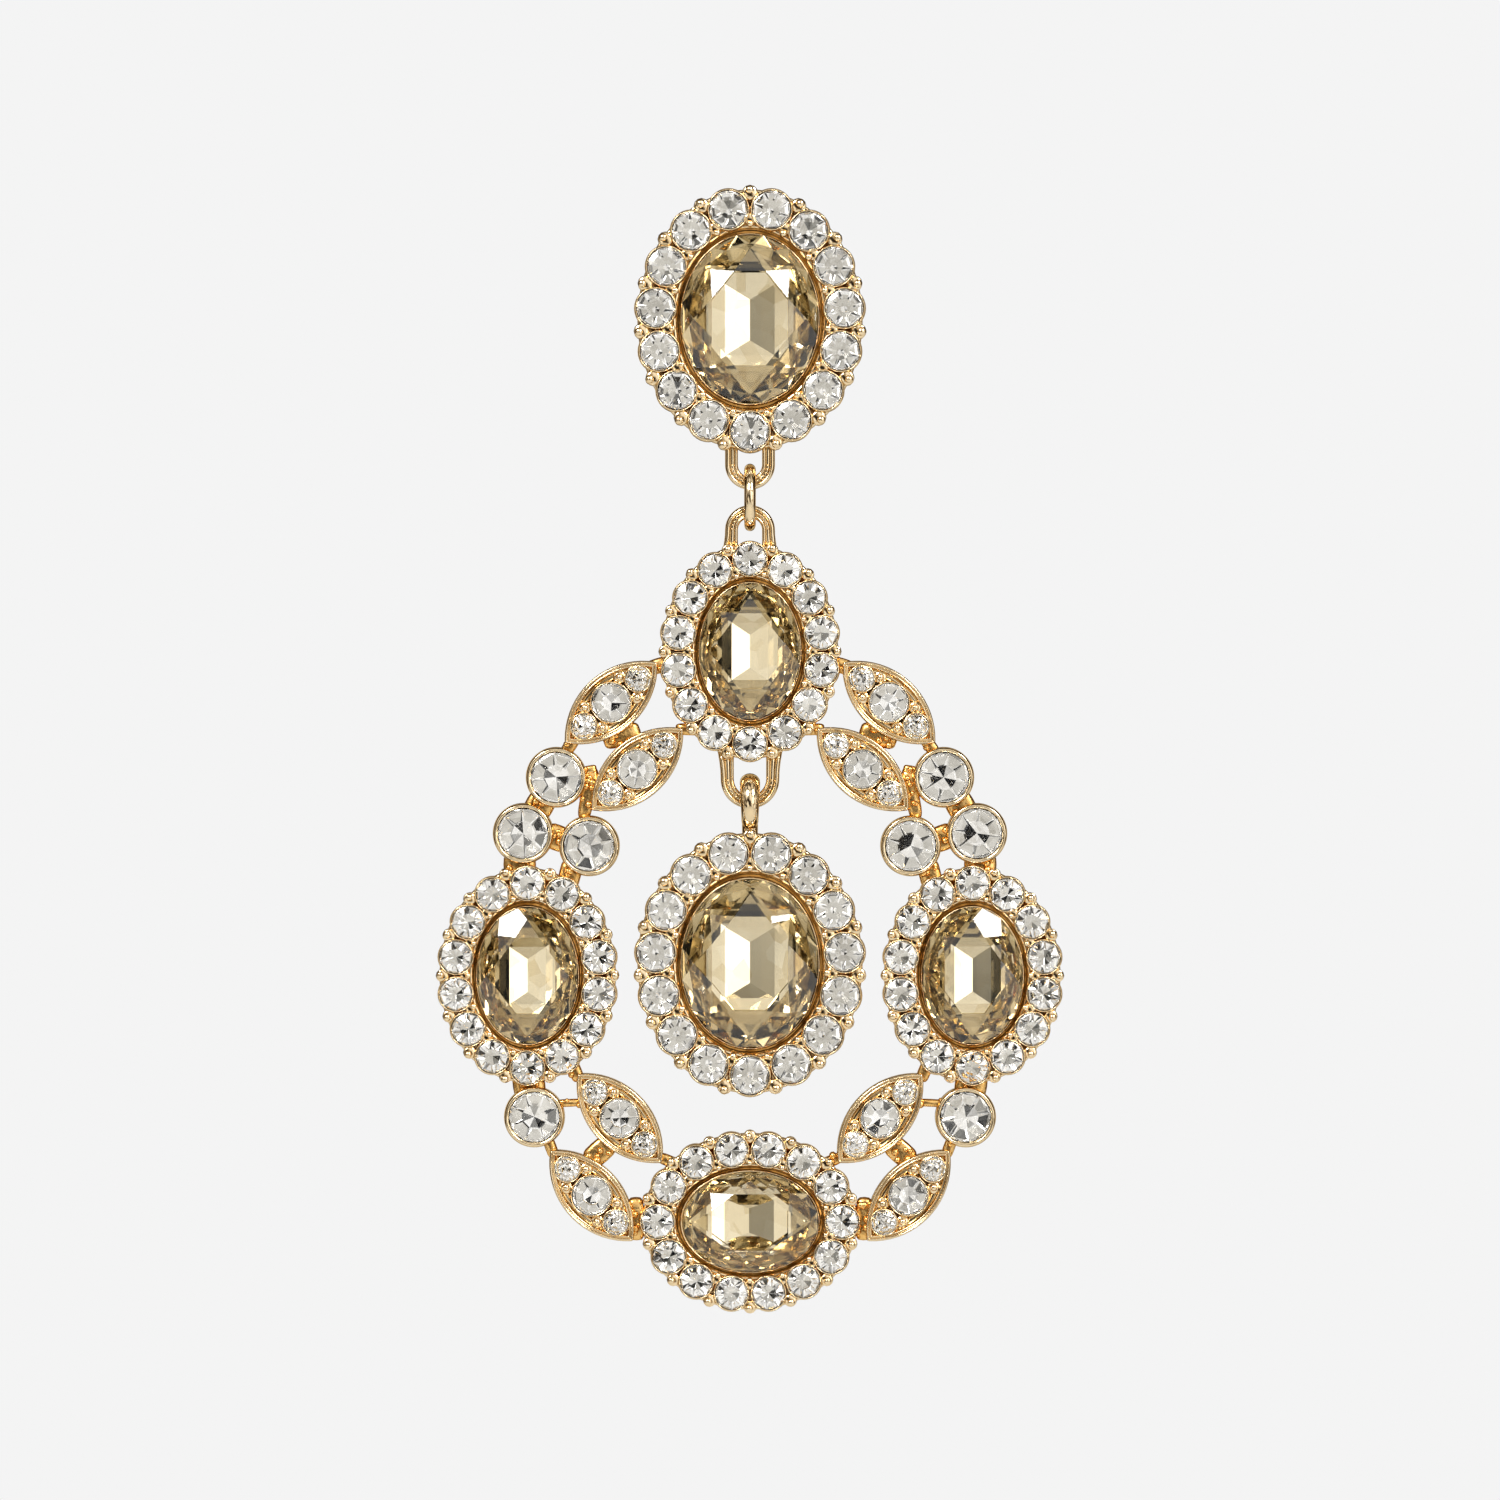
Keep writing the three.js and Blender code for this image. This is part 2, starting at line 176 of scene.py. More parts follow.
def ovalPath(centre, radiusX, radiusY, count, turn=0.0):
    # Oval at even steps of angle, moved out along its normal, then turned about its centre.
    angle = np.arange(count) * 2 * np.pi / count
    base = np.stack([radiusX * np.cos(angle), radiusY * np.sin(angle)], axis=1)
    normal = np.stack([np.cos(angle) / radiusX, np.sin(angle) / radiusY], axis=1)
    normal /= np.linalg.norm(normal, axis=1, keepdims=True)
    return lambda offset: turned(base + normal * offset, turn) + centre


def leafPath(centre, halfLength, halfWidth, turn, arcSteps=20, tipSteps=6, tip=0.25):
    # Two arcs that meet in rounded tips. A parallel offset changes only the arcs' radius.
    radius = (halfLength ** 2 + halfWidth ** 2) / (2 * halfWidth) - tip
    sink = radius - halfWidth + tip

    def path(offset):
        corner = max(tip + offset, 0.03)
        arc = radius + tip + offset - corner
        spread = np.arcsin(np.sqrt(max(arc ** 2 - sink ** 2, 1e-6)) / arc)
        upper = np.linspace(np.pi / 2 - spread, np.pi / 2 + spread, arcSteps)
        turnTip = np.linspace(np.pi / 2 + spread, 3 * np.pi / 2 - spread, tipSteps + 2)[1:-1]
        end = np.array([-arc * np.sin(spread), 0.0])
        top = np.stack([arc * np.cos(upper), arc * np.sin(upper) - sink], axis=1)
        top += corner * np.stack([np.cos(upper), np.sin(upper)], axis=1)
        left = end + corner * np.stack([np.cos(turnTip), np.sin(turnTip)], axis=1)
        half = np.vstack([top, left])
        return turned(np.vstack([half, -half]), turn) + centre
    return path


def carried(path, profile):
    # Rows of a profile of (offset, front) carried round a path: one loop for each row.
    rows = []
    for offset, front in profile:
        loop = path(offset)
        rows.append(np.column_stack([loop, np.full(len(loop), front)]))
    return np.array(rows)


def softened(profile, closed):
    # Corner cutting: each corner becomes two points at a quarter of its sides.
    profile = np.asarray(profile, float)
    following = np.roll(profile, -1, axis=0) if closed else profile[1:]
    current = profile if closed else profile[:-1]
    cut = np.stack([0.75 * current + 0.25 * following,
                    0.25 * current + 0.75 * following], axis=1).reshape(-1, 2)
    return cut if closed else np.vstack([profile[:1], cut, profile[-1:]])


def band(path, profile):
    # A closed profile carried round a path.
    return ringShell(carried(path, softened(profile, True)))


def dish(path, centre, profile):
    # An open profile carried round a path, closed at its centre on both sides.
    grid = carried(path, softened(profile, False))
    poles = [np.tile([*centre, front], (grid.shape[1], 1))[None] for front in
             (profile[0][1], profile[-1][1])]
    return poleShell(np.vstack([poles[0], grid, poles[1]]))


def beads(centres, radius, back, front, sides=12, rings=5, dome=0.8):
    # Round-headed posts: a quarter circle from the crown down, then a straight shaft. dome
    # is the head's height as a share of its radius.
    angle = np.linspace(0, np.pi / 2, rings)
    around = np.arange(sides) * 2 * np.pi / sides
    across = np.append(np.sin(angle), [1.0, 0.0]) * radius
    height = np.append(front - radius * dome * (1 - np.cos(angle)), [back, back])
    unit = np.stack([across[:, None] * np.cos(around), across[:, None] * np.sin(around),
                     np.broadcast_to(height[:, None], (len(across), sides))], axis=-1)
    return [poleShell(unit + [*centre, 0.0]) for centre in np.atleast_2d(centres)]


def rod(route, radii, depth=1.0, sides=14):
    # A round rod along a route in the face plane; its ends close on rounded points.
    route = np.asarray(route, float)
    along = np.gradient(route, axis=0)
    along /= np.linalg.norm(along, axis=1, keepdims=True)
    side = np.stack([-along[:, 1], along[:, 0]], axis=1)
    around = np.arange(sides) * 2 * np.pi / sides
    radii = np.broadcast_to(radii, (len(route),)).astype(float)
    flat = route[:, None, :2] + side[:, None] * (radii[:, None] * np.cos(around))[..., None]
    deep = radii[:, None] * np.sin(around) * depth
    grid = np.concatenate([flat, deep[..., None]], axis=2)
    ends = [np.tile([*route[i], 0.0], (sides, 1))[None] for i in (0, -1)]
    return poleShell(np.vstack([ends[0], grid, ends[1]]))


def bar(start, end, width, back, front, power, rings=11, sides=20):
    # A rounded bar: an ellipsoid whose sine and cosine are raised to a small power.
    start, end = np.array(start, float), np.array(end, float)
    along = end - start
    length = np.linalg.norm(along)
    along /= length
    side = np.array([-along[1], along[0]])
    lift = np.linspace(-np.pi / 2, np.pi / 2, rings)[:, None]
    turn = (np.arange(sides) * 2 * np.pi / sides)[None, :]
    soft = lambda value: np.sign(value) * np.abs(value) ** power
    x = soft(np.cos(lift)) * soft(np.cos(turn)) * length / 2
    y = soft(np.cos(lift)) * soft(np.sin(turn)) * width / 2
    z = soft(np.sin(lift)) * (front - back) / 2 + (front + back) / 2 + 0 * turn
    flat = (start + end) / 2 + x[..., None] * along + y[..., None] * side
    return poleShell(np.concatenate([flat, z[..., None]], axis=2))


# Cut stones have a girdle of radius 1, and crown and pavilion heights of 1, until set.

# Radii of the table and of the eight-sided rings next to the girdle, and their heights.
roundLook = dict(table=0.50, shoulder=0.94, crown=0.16, girdle=0.03, pavilion=-0.12)


def chaton():
    # Round cut: an eight-sided table at height 1, eight crown facets, a small sixteen-sided
    # step at the girdle, and a foiled pavilion of eight mains whose culet is at -1. A row
    # of small facets keeps the girdle round.
    shoulder, girdle = roundLook["shoulder"], roundLook["girdle"]
    eight = (np.arange(8) + 0.5) * np.pi / 4
    sixteen = (np.arange(16) + 1) * np.pi / 8

    def ring(angles, radius, height):
        return np.stack([radius * np.cos(angles), radius * np.sin(angles),
                         np.full(len(angles), height)], axis=1)
    points = np.vstack([ring(eight, roundLook["table"], 1.0),
                        ring(eight, shoulder, roundLook["crown"]),
                        ring(sixteen, 1.0, girdle), ring(sixteen, 1.0, -girdle),
                        ring(eight, shoulder, roundLook["pavilion"]),
                        [[0, 0, -1.0]], [[0, 0, 1.0]]])
    t, c, g, l, p, culet, centre = 0, 8, 16, 32, 48, 56, 57
    k = np.arange(8)
    n = (k + 1) % 8
    s = np.arange(16)
    following = (s + 1) % 16
    quads = np.vstack([
        np.stack([t + k, c + k, c + n, t + n], axis=1),
        np.stack([g + s, l + s, l + following, g + following], axis=1)])
    triangles = np.vstack([
        np.stack([np.full(8, centre), t + k, t + n], axis=1),
        np.stack([c + k, g + 2 * k, g + 2 * k + 1], axis=1),
        np.stack([c + k, g + 2 * k + 1, c + n], axis=1),
        np.stack([c + n, g + 2 * k + 1, g + 2 * n], axis=1),
        np.stack([p + k, l + 2 * k + 1, l + 2 * k], axis=1),
        np.stack([p + k, p + n, l + 2 * k + 1], axis=1),
        np.stack([p + n, l + 2 * n, l + 2 * k + 1], axis=1),
        np.stack([np.full(8, culet), p + n, p + k], axis=1)])
    glassQuads = np.zeros(len(quads), int)
    glassThenFoil = np.repeat([0, 1], len(triangles) // 2)
    return points, quads, triangles, np.concatenate([glassQuads, glassThenFoil])


# Rings of the oval cut, from the table back: phase is a share of one side, stretch is how
# tall the ring is for its width, and slot is the finish behind it, 0 glass and 1 foil.
ovalTiers = [
    dict(sides=8, radius=0.60, height=1.0, phase=0.5, stretch=1.0, slot=0),
    dict(sides=8, radius=0.82, height=0.60, phase=0.0, stretch=1.0, slot=0),
    dict(sides=16, radius=1.0, height=0.04, phase=0.5, stretch=1.0, slot=0),
    dict(sides=16, radius=1.0, height=-0.03, phase=0.5, stretch=1.0, slot=1),
    dict(sides=16, radius=0.83, height=-0.46, phase=0.0, stretch=1.0, slot=1),
    dict(sides=8, radius=0.60, height=-0.74, phase=0.5, stretch=1.0, slot=1),
    dict(sides=4, radius=0.51, height=-0.856, phase=0.5, stretch=1.16, slot=1),
]
ovalKeel = 0.24  # half length of the ridge that the oval cut ends in


def fancyOval(tiers, keel):
    # Rings at even steps of angle, each joined to the next by triangles, a flat table in
    # front, and a keel line behind in place of a point.
    rings = []
    for tier in tiers:
        angle = (np.arange(tier["sides"]) + tier["phase"]) * 2 * np.pi / tier["sides"]
        rings.append(np.stack([tier["radius"] * np.cos(angle),
                               tier["radius"] * tier["stretch"] * np.sin(angle),
                               np.full(tier["sides"], tier["height"])], axis=1))
    sizes = [tier["sides"] for tier in tiers]
    starts = np.cumsum([0] + sizes)
    last = starts[-1]
    table = [0, 0, tiers[0]["height"]]
    points = np.vstack(rings + [[table, [0, keel, -1.0], [0, -keel, -1.0]]])
    k = np.arange(sizes[0])
    triangles = [np.stack([np.full(sizes[0], last), k, (k + 1) % sizes[0]], axis=1)]
    slots = [np.zeros(sizes[0], int)]
    for i, tier in enumerate(tiers[:-1]):
        found = zipped(rings[i], rings[i + 1], starts[i], starts[i + 1])
        triangles.append(found)
        slots.append(np.full(len(found), tier["slot"], int))
    here = np.arange(sizes[-1])
    there = (here + 1) % sizes[-1]
    foot = np.where(rings[-1][:, 1] > 0, last + 1, last + 2)
    here, there = starts[-2] + here, starts[-2] + there
    split = foot != np.roll(foot, -1)
    triangles += [np.stack([there, here, foot], axis=1),
                  np.stack([there, foot, np.roll(foot, -1)], axis=1)[split]]
    slots.append(np.full(sizes[-1] + split.sum(), tiers[-1]["slot"], int))
    return points, np.zeros((0, 4), int), np.vstack(triangles), np.concatenate(slots)


def zipped(front, behind, frontStart, behindStart):
    # Triangles between two rings of different counts: both rings' edges are taken in order
    # of the angle at their middles, and each is joined to where the other ring has got to.
    a, b = (np.unwrap(np.arctan2(ring[:, 1], ring[:, 0])) / (2 * np.pi)
            for ring in (front, behind))
    shift = int(np.argmin(np.abs((b - a[0] + 0.5) % 1 - 0.5)))
    b = np.unwrap(np.roll(b, -shift) * 2 * np.pi) / (2 * np.pi)
    b += np.round(a[0] - b[0])
    a, b = np.append(a, a[0] + 1), np.append(b, b[0] + 1)
    edges = np.concatenate([(a[1:] + a[:-1]) / 2 - 1e-9, (b[1:] + b[:-1]) / 2])
    onFront = np.argsort(edges, kind="stable") < len(front)
    i = np.cumsum(onFront) - onFront
    j = np.cumsum(~onFront) - ~onFront
    following = np.where(onFront, frontStart + (i + 1) % len(front),
                         behindStart + (j + shift + 1) % len(behind))
    return np.stack([frontStart + i % len(front), behindStart + (j + shift) % len(behind),
                     following], axis=1)


def setStone(cut, centre, girdle, size, table, culet, turn=0.0, spin=0.0, lean=(0.0, 0.0)):
    # A unit cut is spun, scaled with separate crown and pavilion heights, turned with its
    # setting, and leaned by adding a slope in each direction to its height.
    points, quads, triangles, slots = cut
    height = points[:, 2] * np.where(points[:, 2] > 0, table - girdle, girdle - culet)
    flat = turned(turned(points[:, :2], spin) * size, turn)
    placed = np.column_stack([flat, height + flat @ lean]) + [*centre, girdle]
    return shell(placed, quads, triangles, slots, smooth=False)


# Finishes.

def linear(code):
    # sRGB hex to linear RGBA.
    value = np.array([int(code[i:i + 2], 16) for i in (1, 3, 5)]) / 255
    value = np.where(value <= 0.04045, value / 12.92, ((value + 0.055) / 1.055) ** 2.4)
    return (*value, 1.0)


def addNode(tree, kind, settings=None, links=None):
    # Adds a node; settings are its fields or its inputs' values, links are input: output.
    node = tree.nodes.new(kind)
    for key, value in (settings or {}).items():
        if isinstance(key, str) and hasattr(node, key):
            setattr(node, key, value)
        else:
            node.inputs[key].default_value = value
    for key, output in (links or {}).items():
        tree.links.new(output, node.inputs[key])
    return node


def newMaterial(name):
    # An empty node material and its output.
    material = bpy.data.materials.new(name)
    material.use_nodes = True
    tree = material.node_tree
    tree.nodes.clear()
    return material, tree, tree.nodes.new("ShaderNodeOutputMaterial")


# Pattern sizes are judged from such finishes, not measured: waveMm is the casting's
# unevenness, cloudMm the glass's and patchMm the foil's. grainMm is the tumbled surface's
# fine grain, drawn coarser than the real one so that it shows.
goldLook = dict(colour="#E9D7B6", deep="#D9BD8E", edge="#E8D6B4", roughness=(0.07, 0.16),
                waveMm=1.6, grainMm=0.22, grainShare=0.12, bumpMm=0.012)
# Gold of the low bars behind the frame: its deeper, more orange colour is painted shade of the
# recesses between the leaves; its greater roughness and bumps are the real rough casting.
recessShadeLook = dict(colour="#E6C384", deep="#D9A250", edge="#D2A25C",
                  roughness=(0.16, 0.34), waveMm=0.7, grainMm=0.16, grainShare=0.12,
                  bumpMm=0.05)
clearLook = dict(colour="#FFFFFF", deep="#FBFBFB", ior=1.58, cloudMm=2.5)
champagneLook = dict(colour="#F6F1E5", deep="#F1EBDC", ior=1.58, cloudMm=2.5)
silverFoilLook = dict(colour="#F8F7F5", deep="#DEDCD8", roughness=0.04, patchMm=1.1)
champagneFoilLook = dict(colour="#E4DCC8", deep="#CFC1A2", roughness=0.04, patchMm=1.7)


def goldMaterial(name, look):
    # Cast white metal, tumbled and bright plated in pale gold: near-white highlights, soft
    # unevenness left by the casting, and a deeper tone where the plate is thicker.
    material, tree, output = newMaterial(name)
    place = addNode(tree, "ShaderNodeTexCoord")
    wave = addNode(tree, "ShaderNodeTexNoise",
                   {"Scale": 1 / (look["waveMm"] * mm), "Detail": 2.0},
                   {"Vector": place.outputs["Object"]})
    grain = addNode(tree, "ShaderNodeTexNoise",
                    {"Scale": 1 / (look["grainMm"] * mm), "Detail": 3.0},
                    {"Vector": place.outputs["Object"]})
    colour = addNode(tree, "ShaderNodeMix", {"data_type": "RGBA"},
                     {0: wave.outputs["Fac"]})
    colour.inputs[6].default_value = linear(look["colour"])
    colour.inputs[7].default_value = linear(look["deep"])
    low, high = look["roughness"]
    rough = addNode(tree, "ShaderNodeMapRange", {"To Min": low, "To Max": high},
                    {"Value": grain.outputs["Fac"]})
    height = addNode(tree, "ShaderNodeMath",
                     {"operation": "MULTIPLY_ADD", 1: look["grainShare"]},
                     {0: grain.outputs["Fac"], 2: wave.outputs["Fac"]})
    bump = addNode(tree, "ShaderNodeBump",
                   {"Strength": 1.0, "Distance": look["bumpMm"] * mm},
                   {"Height": height.outputs[0]})
    shader = addNode(tree, "ShaderNodeBsdfPrincipled",
                     {"Metallic": 1.0, "Specular Tint": linear(look["edge"])},
                     {"Base Color": colour.outputs[2], "Roughness": rough.outputs[0],
                      "Normal": bump.outputs[0]})
    tree.links.new(shader.outputs[0], output.inputs[0])
    return material


def crystalMaterial(name, look):
    # Machine-cut lead glass, polished: clear or tinted, with bright mirror-like facets and
    # a hint of unevenness in its tint.
    material, tree, output = newMaterial(name)
    place = addNode(tree, "ShaderNodeTexCoord")
    cloud = addNode(tree, "ShaderNodeTexNoise",
                    {"Scale": 1 / (look["cloudMm"] * mm), "Detail": 1.0},
                    {"Vector": place.outputs["Object"]})
    colour = addNode(tree, "ShaderNodeMix", {"data_type": "RGBA"}, {0: cloud.outputs["Fac"]})
    colour.inputs[6].default_value = linear(look["colour"])
    colour.inputs[7].default_value = linear(look["deep"])
    shader = addNode(tree, "ShaderNodeBsdfPrincipled",
                     {"IOR": look["ior"], "Transmission Weight": 1.0, "Roughness": 0.0},
                     {"Base Color": colour.outputs[2]})
    tree.links.new(shader.outputs[0], output.inputs[0])
    return material


def foilMaterial(name, look):
    # Metal foil burnt on to the back of the glass: a mirror with slight patches of tone.
    material, tree, output = newMaterial(name)
    place = addNode(tree, "ShaderNodeTexCoord")
    patch = addNode(tree, "ShaderNodeTexVoronoi", {"Scale": 1 / (look["patchMm"] * mm)},
                    {"Vector": place.outputs["Object"]})
    colour = addNode(tree, "ShaderNodeMix", {"data_type": "RGBA"},
                     {0: patch.outputs["Color"]})
    colour.inputs[6].default_value = linear(look["colour"])
    colour.inputs[7].default_value = linear(look["deep"])
    shader = addNode(tree, "ShaderNodeBsdfPrincipled",
                     {"Metallic": 1.0, "Roughness": look["roughness"]},
                     {"Base Color": colour.outputs[2]})
    tree.links.new(shader.outputs[0], output.inputs[0])
    return material


gold = goldMaterial("palegoldplate", goldLook)
recessShadeGold = goldMaterial("roughcastgold_painted_recess_shade", recessShadeLook)
clearGlass = crystalMaterial("clearcutcrystal", clearLook)
silverFoil = foilMaterial("silverfoil", silverFoilLook)
champagneGlass = crystalMaterial("champagnecutcrystal", champagneLook)
champagneFoil = foilMaterial("champagnefoil", champagneFoilLook)
clearSet = [clearGlass, silverFoil]
champagneSet = [champagneGlass, champagneFoil]
print("materials ready")


# The oval clusters, and what hangs from them.

largeCluster = dict(halo=15, pathX=7.6, pathY=9.0, stone=1.56, centreX=5.6, centreY=6.9,
                    table=2.4, culet=-1.6, back=-2.4, rim=0.19, outerBead=0.38,
                    innerBead=0.30, outerAt=1.36, innerAt=1.34, fillet=0.62)
smallCluster = dict(halo=14, pathX=5.85, pathY=7.4, stone=1.33, centreX=4.15, centreY=5.6,
                    table=2.0, culet=-1.3, back=-2.0, rim=0.17, outerBead=0.31,
                    innerBead=0.25, outerAt=1.13, innerAt=1.14, fillet=0.52)

# Heights of the channel, the stones, and the feet and tops of the fillets and beads.
levels = dict(back=-1.05, floor=-0.35, girdle=1.08, stoneTable=1.62, stoneCulet=-0.25,
              centreGirdle=0.95, outerFilletFoot=-0.8, innerFilletFoot=-0.3, filletTop=1.08,
              outerBeadFoot=-0.85, innerBeadFoot=0.0, outerBeadTop=1.24, innerBeadTop=1.25)

# edge, floor and the two fillets are shares of a halo stone's radius. innerShare is the
# inner fillet's size by the outer one's, and dome is how rounded both are. channelGap, from
# the bowl to the channel, and how far beads stray are in mm.
castLook = dict(edge=0.93, floor=0.70, outerFillet=0.74, innerFillet=0.62, innerShare=0.8,
                dome=0.25, channelGap=0.2, outerStray=0.05, innerStray=0.03)


def haloPlaces(cluster, shift):
    # Points at even arc steps round the halo's oval, from the bottom, with their normals.
    # shift is a share of one step: 0 gives the stones, 0.5 the places between them.
    fine = np.linspace(-np.pi / 2, 3 * np.pi / 2, 1441)  # a quarter of a degree apart
    x, y = cluster["pathX"] * np.cos(fine), cluster["pathY"] * np.sin(fine)
    run = np.append(0, np.cumsum(np.hypot(np.diff(x), np.diff(y))))
    want = (np.arange(cluster["halo"]) + shift) / cluster["halo"] * run[-1]
    angle = np.interp(want, run, fine)
    points = np.stack([cluster["pathX"] * np.cos(angle), cluster["pathY"] * np.sin(angle)], 1)
    normal = np.stack([np.cos(angle) / cluster["pathX"], np.sin(angle) / cluster["pathY"]], 1)
    return points, normal / np.linalg.norm(normal, axis=1, keepdims=True)


def clusterMetal(cluster, centre, turn=0.0):
    # Channel for the halo, a bowl with a rim for the centre stone, a cup for each halo
    # stone, a fillet of metal in each corner between two cups, and beads on the fillets.
    s, back, rim = cluster["stone"], cluster["back"], cluster["rim"]
    inner = cluster["pathX"] - cluster["centreX"] - castLook["channelGap"]
    path = ovalPath(centre, cluster["pathX"], cluster["pathY"], 96, turn)
    edge, floorEdge = s * castLook["edge"], s * castLook["floor"]
    made = [band(path, [
        (edge - 0.25, levels["back"]), (edge, -0.85), (edge, 0.5), (edge - 0.1, 0.7),
        (edge - 0.3, 0.7), (0.72 * s, 0.4), (floorEdge, levels["floor"]),
        (-floorEdge, levels["floor"]), (-0.76 * s, 0.35), (-0.90 * s, 0.5),
        (-inner, 0.4), (-inner, levels["back"])])]
    bowl = ovalPath(centre, cluster["centreX"], cluster["centreY"], 80, turn)
    made.append(dish(bowl, centre, [
        (-2.2, back), (-0.5, back), (0.28, back + 0.05), (0.40, back + 0.4),
        (0.40, 0.0), (0.0, 0.05), (0.0, 0.70), (-0.03, 0.80), (-0.08, 0.82),
        (-0.14, 0.78), (-0.17, 0.6), (-0.36, 0.3), (-0.5, back + 0.7),
        (-2.4, back + 0.6)]))
    stones, _ = haloPlaces(cluster, 0.0)
    for place in turned(stones, turn) + centre:
        made.append(band(ovalPath(place, s, s, 32), [
            (0.0, -0.95), (rim - 0.05, -0.95), (rim, -0.7), (rim, 0.75),
            (rim - 0.02, 1.0), (rim * 0.55, 1.2), (0.04, 1.22), (0.0, 1.1),
            (-0.04, 0.75), (-0.06, 0.1)]))
    between, normal = haloPlaces(cluster, 0.5)
    outer = turned(between + normal * cluster["outerAt"], turn) + centre
    inside = turned(between - normal * cluster["innerAt"], turn) + centre
    outerFillets = between + normal * castLook["outerFillet"] * s
    innerFillets = between - normal * castLook["innerFillet"] * s
    made += beads(turned(outerFillets, turn) + centre, cluster["fillet"],
                  levels["outerFilletFoot"], levels["filletTop"], dome=castLook["dome"])
    made += beads(turned(innerFillets, turn) + centre,
                  cluster["fillet"] * castLook["innerShare"],
                  levels["innerFilletFoot"], levels["filletTop"], dome=castLook["dome"])
    for spot in outer + shade.normal(0, castLook["outerStray"], outer.shape):
        made += beads(spot, cluster["outerBead"] * shade.uniform(0.9, 1.08),
                      levels["outerBeadFoot"], levels["outerBeadTop"])
    for spot in inside + shade.normal(0, castLook["innerStray"], inside.shape):
        made += beads(spot, cluster["innerBead"] * shade.uniform(0.9, 1.1),
                      levels["innerBeadFoot"], levels["innerBeadTop"], sides=10, rings=4)
    return made


roundCut = chaton()
ovalCut = fancyOval(ovalTiers, ovalKeel)

# How stones fill their settings: a halo stone's share of its cup and the gap round a centre
# stone, in mm; and how far off true small and centre stones sit by chance, as slopes.
fit = dict(haloShare=0.97, centreGap=0.09, smallLean=0.035, centreLean=0.012)

# Slopes, across and up, of three centre stones: they settle what each stone mirrors.
seats = dict(drop=np.array([-0.008, -0.035]), top=np.array([0.002, -0.012]),
             bottom=np.array([0.057, -0.034]))


def smallStone(centre, radius, table=levels["stoneTable"], girdle=levels["girdle"],
               culet=levels["stoneCulet"]):
    # A round stone given a chance turn and a slight chance lean.
    return setStone(roundCut, centre, girdle, (radius, radius), table, culet,
                    spin=shade.uniform(0, np.pi / 4), lean=shade.normal(0, fit["smallLean"], 2))


def clusterStones(prefix, body, cluster, turn=0.0):
    # The halo as one piece and the centre stone as another, its keel upright.
    centre = middle(prefix + "_centre_stone")
    places, _ = haloPlaces(cluster, 0.0)
    radius = cluster["stone"] * fit["haloShare"]
    halo = [smallStone(place, radius) for place in turned(places, turn) + centre]
    makePiece(prefix + "_halo", halo, clearSet, body,
              [prefix + "_halo_stones"])
    size = (cluster["centreX"] - fit["centreGap"], cluster["centreY"] - fit["centreGap"])
    seat = seats.get(prefix, np.zeros(2)) + shade.normal(0, fit["centreLean"], 2)
    stone = setStone(ovalCut, centre, levels["centreGirdle"], size, cluster["table"],
                     cluster["culet"], turn=turn, spin=-turn, lean=seat)
    makePiece(prefix + "_centre", [stone], champagneSet, body,
              [prefix + "_centre_stone"])


# Lugs: radii of the hole and of the outside, how far the legs reach and spread, whether
# they rise (1) or fall (-1), and how far the hole is above the middle of the cluster.
lugs = dict(stud=dict(inner=0.96, outer=2.0, up=1, reach=2.0, flare=0.0, above=-11.65),
            frameTop=dict(inner=0.96, outer=2.0, up=-1, reach=1.4, flare=0.15, above=9.75),
            frameFoot=dict(inner=1.28, outer=2.36, up=1, reach=2.3, flare=0.25,
                           above=-10.25))

# Ridges of a lug: how far out across its width, half width, half depth, share of the flare.
ridges = [dict(share=0.78, thick=0.235, deep=0.50, flare=1.0),
          dict(share=0.17, thick=0.17, deep=0.46, flare=0.0),
          dict(share=0.45, thick=0.26, deep=0.26, flare=0.5)]
grainLook = dict(count=15, share=0.46, radius=0.085, front=0.38)


def loopMetal(clusterCentre, lug):
    # A lug round a hole: a U-shaped outer ridge, an inner ridge, a lower web between them
    # and a row of fine grains in the groove.
    centre = clusterCentre + [0.0, lug["above"]]
    up, inner, width = lug["up"], lug["inner"], lug["outer"] - lug["inner"]
    angle = np.linspace(np.pi, 2 * np.pi, 29)
    bow = np.stack([np.cos(angle), up * np.sin(angle)], axis=1)
    made = []
    for ridge in ridges:
        radius = inner + ridge["share"] * width
        spread, reach = lug["flare"] * ridge["flare"], up * lug["reach"]
        leg = np.array([[radius + spread, reach], [radius + spread * 0.4, reach * 0.6],
                        [radius + spread * 0.1, reach * 0.3]])
        route = np.vstack([leg * [-1, 1], bow * radius, leg[::-1]])
        made.append(rod(route + centre, ridge["thick"], depth=ridge["deep"] / ridge["thick"]))
    grains = np.linspace(np.pi * 1.02, np.pi * 1.98, grainLook["count"])
    radius = inner + grainLook["share"] * width
    spots = np.stack([radius * np.cos(grains), up * radius * np.sin(grains)], axis=1)
    made += beads(spots + centre, grainLook["radius"], 0.0, grainLook["front"], sides=8,
                  rings=3)
    return made


def studAndDrop():
    # The two large clusters: the stud with its lug, and the drop with its bail.
    studCentre, dropCentre = middle("stud_centre_stone"), middle("drop_centre_stone")
    metal = clusterMetal(largeCluster, studCentre) + loopMetal(studCentre, lugs["stud"])
    makePiece("stud_setting", metal, [gold], "stud", ["stud_casting"])
    clusterStones("stud", "stud", largeCluster)
    bailCentre = np.array([0.0, frame["joints"][2]["pos_m"][2] / mm])
    metal = clusterMetal(largeCluster, dropCentre)
    metal += [bail(bailCentre)] + dropNeck(dropCentre)
    makePiece("drop_setting", metal, [gold], "drop", ["drop_casting"])
    clusterStones("drop", "drop", largeCluster)


bailLook = dict(middle=1.58, thick=0.72, footWidth=0.68, topWidth=0.82)
neckLook = dict(low=8.4, high=11.6, steps=9, depth=1.1)  # heights above the drop's middle
ringLook = dict(wire=0.465)


